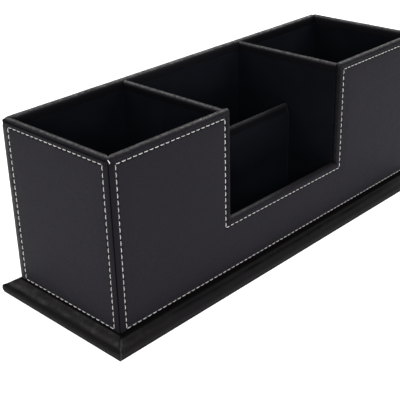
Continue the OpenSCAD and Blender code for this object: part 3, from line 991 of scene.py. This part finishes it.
def base_skin(base, leather):
    """Closed skin of the leather over the base, with a folded crease at each corner."""
    edge = base_edge(base)
    shown = base_rings(edge)
    across = np.roll(shown, -1, axis=1) - np.roll(shown, 1, axis=1)
    outward = np.cross(np.gradient(shown, axis=0), across)
    outward /= np.linalg.norm(outward, axis=-1, keepdims=True)
    x, y = shown[..., 0], shown[..., 1]
    out = np.maximum(abs(x) - BOX_L / 2, abs(y) - BOX_D / 2)
    to_mitre = (BOX_L / 2 - abs(x)) - (BOX_D / 2 - abs(y))
    exposed = swell(out, 2 * MM) * swell(shown[..., 2] - low("base_cover").z, 1 * MM)
    lap = np.where(to_mitre > 0, np.exp(-(abs(to_mitre) / (1.3 * MM)) ** 2), 0)
    fold = base.crease * lap * exposed
    corner = np.exp(-(to_mitre / (14 * MM)) ** 2)
    wrinkle = leather.wrinkle * (0.5 + 2.2 * corner) * ripple(shown, 4.5 * MM, 5)
    wrinkle += 1.5 * leather.wave * ripple(shown, 24 * MM, 6)
    rise = fold + wrinkle * exposed * swell(abs(to_mitre), 2 * MM)
    ear = nose_ear(base, edge)[:, None] * np.exp(-(to_mitre / (1.4 * MM)) ** 2)
    shown = shown + outward * (rise - rise.max() * exposed + 1.4 * ear)[..., None]
    shown = np.clip(shown, low("base_cover"), high("base_cover"))
    index = numbered(shown.shape[:2])
    faces = quads(index[::-1], wrap=True)
    faces.append(index[0].tolist())
    crease, rub = base_paint(shown, out, to_mitre, lap * exposed)
    return closed_skin(shown, base_rings(base_edge(base, LEATHER_T)), faces, crease=crease, rub=rub)


# Bindings

BINDING_STEP = 1.2 * MM


def divider_edge_skin(node, leather):
    """Closed skin of the leather that is folded over the top of a divider."""
    lowest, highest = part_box(node)
    radius = (highest.x - lowest.x) / 2
    middle = (lowest.x + highest.x) / 2
    axis_z = highest.z - radius
    lines = round((highest.y - lowest.y) / BINDING_STEP)
    run = np.linspace(lowest.y - LEATHER_T, highest.y + LEATHER_T, lines)
    leg = np.linspace(lowest.z - axis_z, 0, 5)[:-1]
    turns = np.linspace(0, math.pi, 19)
    upright = np.zeros(len(leg))
    side = np.concatenate([upright - 1, -np.cos(turns), upright + 1])[:, None]
    rise = np.concatenate([upright, np.sin(turns), upright])[:, None]
    drop = np.concatenate([leg, 0 * turns, leg[::-1]])[:, None]

    def sheet(r):
        x = middle + r * side + 0 * run
        return np.stack([x, run + 0 * x, axis_z + r * rise + drop + 0 * x], axis=-1)

    shown = sheet(radius)
    wrinkle = ripple(shown * (1, 0.5, 1), 4.5 * MM, 8) - 1
    shown = sheet(radius + leather.wrinkle * wrinkle)
    faces = quads(numbered(shown.shape[:2])[::-1])
    # Painted highlight together with wear on the top of the binding, and painted shade on its legs
    rub = np.repeat(rise ** 1.4, len(run))
    crease = np.repeat(0.88 * swell(0.6 - rise, 0.6), len(run))
    return closed_skin(shown, sheet(radius - LEATHER_T), faces, crease=crease, rub=rub)


def partition_edge_skin(node, leather):
    """Closed skin of the leather over the top of the partition, with rounded ends."""
    lowest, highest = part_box(node)
    radius = (highest.y - lowest.y) / 2
    middle = (lowest.y + highest.y) / 2
    axis_z = highest.z - radius
    straight = highest.x - radius
    run = np.linspace(-straight, straight, round(2 * straight / BINDING_STEP))
    arc = np.linspace(0, math.pi, 11)[1:-1]
    base = np.concatenate([run, 0 * arc + straight, run[::-1], 0 * arc - straight])
    away_x = np.concatenate([0 * run, np.sin(arc), 0 * run, -np.sin(arc)])
    away_y = np.concatenate([0 * run - 1, -np.cos(arc), 0 * run + 1, np.cos(arc)])
    leg = np.linspace(lowest.z - axis_z, 0, 5)
    turns = np.linspace(0, math.pi / 2, 9)[1:]
    wide = np.concatenate([np.ones(len(leg)), np.cos(turns)])[:, None]
    rise = np.concatenate([np.zeros(len(leg)), np.sin(turns)])[:, None]
    drop = np.concatenate([leg, 0 * turns])[:, None]

    def rings(r):
        x = base + r * wide * away_x
        return np.stack([x, middle + r * wide * away_y, axis_z + r * rise + drop + 0 * x], axis=-1)

    shown = rings(radius)
    wrinkle = ripple(shown * (0.5, 1, 1), 4.5 * MM, 9) - 1
    shown = rings(radius + leather.wrinkle * wrinkle)
    index = numbered(shown.shape[:2])
    index[-1] = index[-1][abs(base[:, None] - run).argmin(axis=1)]
    ends = swell(abs(shown[..., 0]) - straight + radius, 2 * radius)
    onward = swell(shown[..., 0], straight)
    # Painted highlight together with wear on the top, rising to the right and strongest at the right end,
    # and painted shade on the legs
    rub = (0.36 + 0.95 * onward + 0.9 * onward * ends) * rise ** 3
    crease = 0.88 * swell(0.75 - rise, 0.6) * (1 - ends)
    faces = quads(index, wrap=True)
    return closed_skin(shown, rings(radius - LEATHER_T), faces, crease=crease, rub=rub)


# Linings

def sleeve_skin(node, velvet, low_front=None):
    """Closed skin of the velvet round a bay. Its front is cut down to low_front, if that is given."""
    lowest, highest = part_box(node)
    middle = (lowest + highest) / 2
    inner = (highest - lowest) / 2 - Vector((LINING_T, LINING_T, 0))
    radius = 0.2 * velvet.corner if low_front else velvet.corner
    along = np.linspace(-1, 1, round(2 * inner.x / velvet.step))
    deep = np.linspace(-1, 1, round(2 * inner.y / velvet.step))
    arc = np.radians(np.linspace(0, 90, 7)[1:-1])
    bend = np.stack([np.sin(arc), -np.cos(arc)], axis=-1)
    sides = [(along, inner.x, inner.y), (deep, inner.y, inner.x)] * 2
    base, away = [], []
    for spin, (steps, half, out) in zip(QUARTER_TURNS, sides):
        line = np.stack([steps * (half - radius), np.full(len(steps), radius - out)], axis=-1)
        base.append(np.vstack([line, np.repeat(line[-1:], len(arc), axis=0)]) @ spin)
        away.append(np.vstack([np.tile([0.0, -1.0], (len(steps), 1)), bend]) @ spin)
    base, away = np.vstack(base), np.vstack(away)
    marks = [lowest.z, highest.z] + ([low_front] if low_front else [])
    zs = graded(lowest.z, highest.z, 2 * velvet.step, marks)
    open_front = (zs > low_front)[:, None] if low_front else np.zeros((len(zs), 1), bool)

    def rings(reach):
        flat = base + away * reach[..., None]
        sideways = np.sign(base[:, 0]) * reach
        forward = 3 * radius * np.minimum(away[:, 1], 0) + 0 * reach
        onward = base + np.stack([sideways, forward], axis=-1)
        flat = np.where((open_front & (away[:, 1] < 0))[..., None], onward, flat)
        z = np.broadcast_to(zs[:, None], flat.shape[:2])
        return np.concatenate([flat + (middle.x, middle.y), z[..., None]], axis=-1)

    plain = np.full((len(zs), len(base)), radius)
    tuck = 0.5 * LINING_T * (1 - swell(highest.z - zs, 0.5 * MM))[:, None]
    wave = velvet.wave * (ripple(rings(plain), 30 * MM, 11) - 1) * swell(highest.z - zs, 5 * MM)[:, None]
    shown = rings(plain + tuck + wave)
    faces = quads(numbered(shown.shape[:2])[::-1], wrap=True)
    if low_front:
        heights = shown[..., 2].ravel()
        on_front = np.tile(away[:, 1] == -1, len(zs))
        faces = [face for face in faces if heights[face].max() <= low_front or not on_front[face].all()]
    return closed_skin(shown, rings(plain + LINING_T), faces)


def facing_skin(node, velvet, backwards):
    """Closed skin of the velvet on one face of the partition."""
    lowest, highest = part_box(node)
    xs = graded(lowest.x, highest.x, velvet.step, (lowest.x, highest.x))
    zs = graded(lowest.z, highest.z, 2 * velvet.step, (lowest.z, highest.z))
    x, z = np.meshgrid(xs, zs)
    near, far = (highest.y, lowest.y) if backwards else (lowest.y, highest.y)
    shown = np.stack([x, np.full(x.shape, near), z], axis=-1)
    edge = np.minimum.reduce([x - lowest.x, highest.x - x, z - lowest.z, highest.z - z])
    sink = velvet.wave * (1 - ripple(shown, 26 * MM, 12)) * swell(edge, 4 * MM)
    sink += 0.3 * MM * (1 - swell(edge, 0.6 * MM))
    shown[..., 1] += sink * np.sign(far - near)
    hidden = np.stack([x, np.full(x.shape, far), z], axis=-1)
    index = numbered(x.shape)
    return closed_skin(shown, hidden, quads(index[:, ::-1] if backwards else index))


def pad_skin(node, edge, crown, step, downwards=False):
    """Closed skin of a soft slab with rounded edges, whose face is its top or its underside."""
    lowest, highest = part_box(node)
    xs = graded(lowest.x, highest.x, step, (lowest.x, highest.x))
    ys = graded(lowest.y, highest.y, step, (lowest.y, highest.y))
    x, y = np.meshgrid(xs, ys)
    rim = np.minimum.reduce([x - lowest.x, highest.x - x, y - lowest.y, highest.y - y])
    near, far = (lowest.z, highest.z) if downwards else (highest.z, lowest.z)
    drop = edge * (1 - np.sqrt(1 - np.clip(1 - rim / edge, 0, 1) ** 2))
    shown = np.stack([x, y, np.full(x.shape, near)], axis=-1)
    rise = crown * swell(rim, 14 * MM) * (0.85 + 0.3 * ripple(shown, 22 * MM, 13))
    shown[..., 2] += (drop - rise) * np.sign(far - near)
    hidden = np.stack([x, y, np.full(x.shape, far)], axis=-1)
    index = numbered(x.shape)
    return closed_skin(shown, hidden, quads(index[:, ::-1] if downwards else index))


# Operators

class ORGANIZER_OT_stage(bpy.types.Operator):
    """Make the camera, the floor and the studio light"""

    bl_idname = "organizer.stage"
    bl_label = "Studio Stage"

    PLACE = Vector((-382.9, -338.1, 274.2)) * MM
    TURN = math.radians(-44.73)
    DOWN = math.radians(25.54)
    ROLL = math.radians(-2.04)
    SHIFT = (0.05, -0.025)
    AIM = Vector((0, 0, 50)) * MM
    # Place, size and share of the full power of each softbox
    SOFTBOXES = {
        "key_softbox": (Vector((0.05, 0.8, 1.2)), 0.95, 1.15),
        "rear_softbox": (Vector((-0.5, 0.8, 1.0)), 0.8, 0.22),
        "side_softbox": (Vector((0.9, 0.2, 1.05)), 0.8, 0.8),
        "front_softbox": (Vector((0.9, -0.38, 0.95)), 0.8, 0.6),
        "left_softbox": (Vector((-0.95, -0.8, 0.6)), 0.45, 0.9),
    }

    def execute(self, context):
        stage = context.scene.organizer.stage
        self.make_camera(context.scene, stage)
        self.make_floor(context.scene, stage)
        self.make_light(context.scene, stage)
        return {"FINISHED"}

    def make_camera(self, scene, stage):
        """Camera at the photograph's viewing angle."""
        data = bpy.data.cameras.new("camera")
        data.lens = stage.lens
        data.shift_x, data.shift_y = self.SHIFT
        data.clip_start = 10 * MM
        camera = bpy.data.objects.new("camera", data)
        aim = Matrix.Rotation(self.TURN, 4, "Z") @ Matrix.Rotation(math.pi / 2 - self.DOWN, 4, "X")
        camera.matrix_world = Matrix.Translation(self.PLACE) @ aim @ Matrix.Rotation(self.ROLL, 4, "Z")
        scene.collection.objects.link(camera)
        scene.camera = camera

    def make_floor(self, scene, stage):
        """Wide floor, just below the felt."""
        half = 4.0
        drop = 0.05 * MM
        corners = [(-half, -half, -drop), (half, -half, -drop), (half, half, -drop), (-half, half, -drop)]
        mesh = bpy.data.meshes.new("studio_floor")
        mesh.from_pydata(corners, [], [(0, 1, 2, 3)])
        mesh.materials.append(finish_of("studio_paper", floor_finish, stage))
        floor = bpy.data.objects.new("studio_floor", mesh)
        scene.collection.objects.link(floor)

    def make_light(self, scene, stage):
        """Faint light from all round, and the softboxes."""
        world = bpy.data.worlds.new("studio")
        world.use_nodes = True
        backdrop = world.node_tree.nodes["Background"]
        backdrop.inputs["Color"].default_value = (1, 1, 1, 1)
        backdrop.inputs["Strength"].default_value = stage.fill
        scene.world = world
        scene.view_settings.view_transform = "Standard"
        for name, (place, size, power) in self.SOFTBOXES.items():
            lamp = bpy.data.lights.new(name, "AREA")
            lamp.size = size
            lamp.energy = power * stage.softbox
            softbox = bpy.data.objects.new(name, lamp)
            softbox.location = place
            softbox.rotation_euler = (self.AIM - softbox.location).to_track_quat("-Z", "Y").to_euler()
            scene.collection.objects.link(softbox)


class ORGANIZER_OT_covers(bpy.types.Operator):
    """Make the stitched leather on the four walls"""

    bl_idname = "organizer.covers"
    bl_label = "Wall Leather"

    def execute(self, context):
        settings = context.scene.organizer
        leather = settings.leather
        material = finish_of("wall_leather", leather_finish, leather, leather.colour)
        for wall in WALLS:
            skin = cover_skin(wall, leather, settings.stitch)
            make_piece(wall.name + "_leather", skin, material, wall.name + "_cover")
        return {"FINISHED"}


class ORGANIZER_OT_stitches(bpy.types.Operator):
    """Sew the light stitches along the covers"""

    bl_idname = "organizer.stitches"
    bl_label = "Stitches"

    SUNK = 0.12 * MM

    def execute(self, context):
        stitch = context.scene.organizer.stitch
        material = finish_of("sewing_thread", thread_finish, stitch)
        for wall in WALLS:
            ends = np.array(wall.stitch_runs(stitch))
            sunk = np.full(ends.shape[:2], self.SUNK)
            places = np.stack([ends[..., 0], sunk, ends[..., 1]], axis=-1)
            if wall.length == BOX_L:
                places = np.concatenate([places, self.tacks(wall, stitch)])
            runs = wall.placed(places)
            sewn_piece(wall.name + "_stitches", runs, wall.outward, stitch, material)
        return {"FINISHED"}

    def tacks(self, wall, stitch):
        """Slanting stitch over the top of each corner seam."""
        drop = 0.9 * MM
        proud = 0.25 * MM
        across = 0.45 * stitch.pitch
        down = 0.8 * stitch.pitch
        end = wall.length / 2
        return np.array([
            [(side * end, -proud, BOX_H - drop), (side * (end - across), 0, BOX_H - drop - down)]
            for side in (-1, 1)
        ])


class ORGANIZER_OT_base(bpy.types.Operator):
    """Make the leather of the moulded base"""

    bl_idname = "organizer.base"
    bl_label = "Base Leather"

    def execute(self, context):
        settings = context.scene.organizer
        leather = settings.leather
        material = finish_of("base_leather", leather_finish, leather, settings.base.colour)
        skin = base_skin(settings.base, leather)
        make_piece("base_leather", skin, material, "base_cover")
        return {"FINISHED"}


class ORGANIZER_OT_bindings(bpy.types.Operator):
    """Make the leather over the top edges of the dividers and the partition"""

    bl_idname = "organizer.bindings"
    bl_label = "Edge Bindings"

    def execute(self, context):
        leather = context.scene.organizer.leather
        material = finish_of("wall_leather", leather_finish, leather, leather.colour)
        for board in ("left_divider", "right_divider", "partition"):
            node = board + "_binding"
            edge_skin = partition_edge_skin if board == "partition" else divider_edge_skin
            make_piece(board + "_edge", edge_skin(node, leather), material, node)
        return {"FINISHED"}


class ORGANIZER_OT_linings(bpy.types.Operator):
    """Line the bays and the partition with velvet"""

    bl_idname = "organizer.linings"
    bl_label = "Velvet Linings"

    def execute(self, context):
        velvet = context.scene.organizer.velvet
        material = finish_of("black_velvet", velvet_finish, velvet)
        ends = {
            "left": ("left_end_board", "left_divider_board"),
            "middle": ("left_divider_board", "right_divider_board"),
            "right": ("right_end_board", "right_divider_board"),
        }
        for bay, boards in ends.items():
            node = bay + "_bay_lining"
            cut = BASE_TOP + NOTCH_FLOOR - FOLD_H if bay == "middle" else None
            skin = sleeve_skin(node, velvet, cut)
            sleeve = make_piece(bay + "_bay_velvet", skin, material, node)
            lowest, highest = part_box(node)
            size = highest - lowest
            width = 2 * (size.x + size.y - 4 * LINING_T)
            notch = (highest.z - cut) * (size.x - 2 * LINING_T) if cut else 0
            width * size.z - notch
        for face, backwards in (("front", False), ("back", True)):
            node = f"partition_{face}_lining"
            skin = facing_skin(node, velvet, backwards)
            facing = make_piece(f"partition_{face}_velvet", skin, material, node)
            size = high(node) - low(node)
        return {"FINISHED"}


class ORGANIZER_OT_pads(bpy.types.Operator):
    """Make the soft pads on the floors of the bays and the felt under the base"""

    bl_idname = "organizer.pads"
    bl_label = "Floor Pads and Felt"

    CUSHION_EDGE = 0.9 * MM
    CUSHION_CROWN = 0.5 * MM
    FELT_EDGE = 0.35 * MM

    def execute(self, context):
        velvet = context.scene.organizer.velvet
        material = finish_of("black_velvet", velvet_finish, velvet)
        for bay in ("left_bay", "front_pocket", "back_pocket", "right_bay"):
            node = bay + "_floor_pad"
            skin = pad_skin(node, self.CUSHION_EDGE, self.CUSHION_CROWN, velvet.step)
            make_piece(bay + "_cushion", skin, material, node)
        felt = finish_of("black_felt", felt_finish)
        skin = pad_skin("base_pad", self.FELT_EDGE, 0, velvet.step, downwards=True)
        sheet = make_piece("base_felt", skin, felt, "base_pad")
        return {"FINISHED"}


class ORGANIZER_OT_core(bpy.types.Operator):
    """Finish the boards and the screws of the frame"""

    bl_idname = "organizer.core"
    bl_label = "Boards and Screws"

    def execute(self, context):
        slots = {
            "fibreboard": finish_of("raw_fibreboard", fibreboard_finish),
            "screw_steel": finish_of("plated_steel", steel_finish),
        }
        for subpart in frame["record"]["subparts"]:
            if subpart["material_slot"] in slots:
                mesh = frame["nodes"][subpart["node"]].data
                mesh.materials.clear()
                mesh.materials.append(slots[subpart["material_slot"]])
        return {"FINISHED"}


class ORGANIZER_PT_panel(bpy.types.Panel):
    """Steps and settings of the organizer"""

    bl_idname = "ORGANIZER_PT_panel"
    bl_label = "Desk Organizer"
    bl_space_type = "VIEW_3D"
    bl_region_type = "UI"
    bl_category = "Organizer"

    def draw(self, context):
        settings = context.scene.organizer
        for operator in OPERATORS:
            self.layout.operator(operator.bl_idname)
        for name in ("leather", "stitch", "base", "velvet", "stage"):
            group = getattr(settings, name)
            box = self.layout.box()
            box.label(text=name.capitalize())
            for key in type(group).__annotations__:
                box.prop(group, key)


GROUPS = (
    LeatherSettings, StitchSettings, BaseSettings, VelvetSettings, StageSettings, OrganizerSettings,
)
OPERATORS = (
    ORGANIZER_OT_stage, ORGANIZER_OT_covers, ORGANIZER_OT_stitches, ORGANIZER_OT_base,
    ORGANIZER_OT_bindings, ORGANIZER_OT_linings, ORGANIZER_OT_pads, ORGANIZER_OT_core,
)


def register():
    for kind in (*GROUPS, *OPERATORS, ORGANIZER_PT_panel):
        bpy.utils.register_class(kind)
    bpy.types.Scene.organizer = PointerProperty(type=OrganizerSettings)


def unregister():
    del bpy.types.Scene.organizer
    for kind in reversed((*GROUPS, *OPERATORS, ORGANIZER_PT_panel)):
        bpy.utils.unregister_class(kind)


def main():
    """Build the organizer step by step."""
    register()
    bpy.ops.organizer.stage()
    bpy.ops.organizer.covers()
    bpy.ops.organizer.stitches()
    bpy.ops.organizer.base()
    bpy.ops.organizer.bindings()
    bpy.ops.organizer.linings()
    bpy.ops.organizer.pads()
    bpy.ops.organizer.core()


if __name__ == "__main__":
    main()
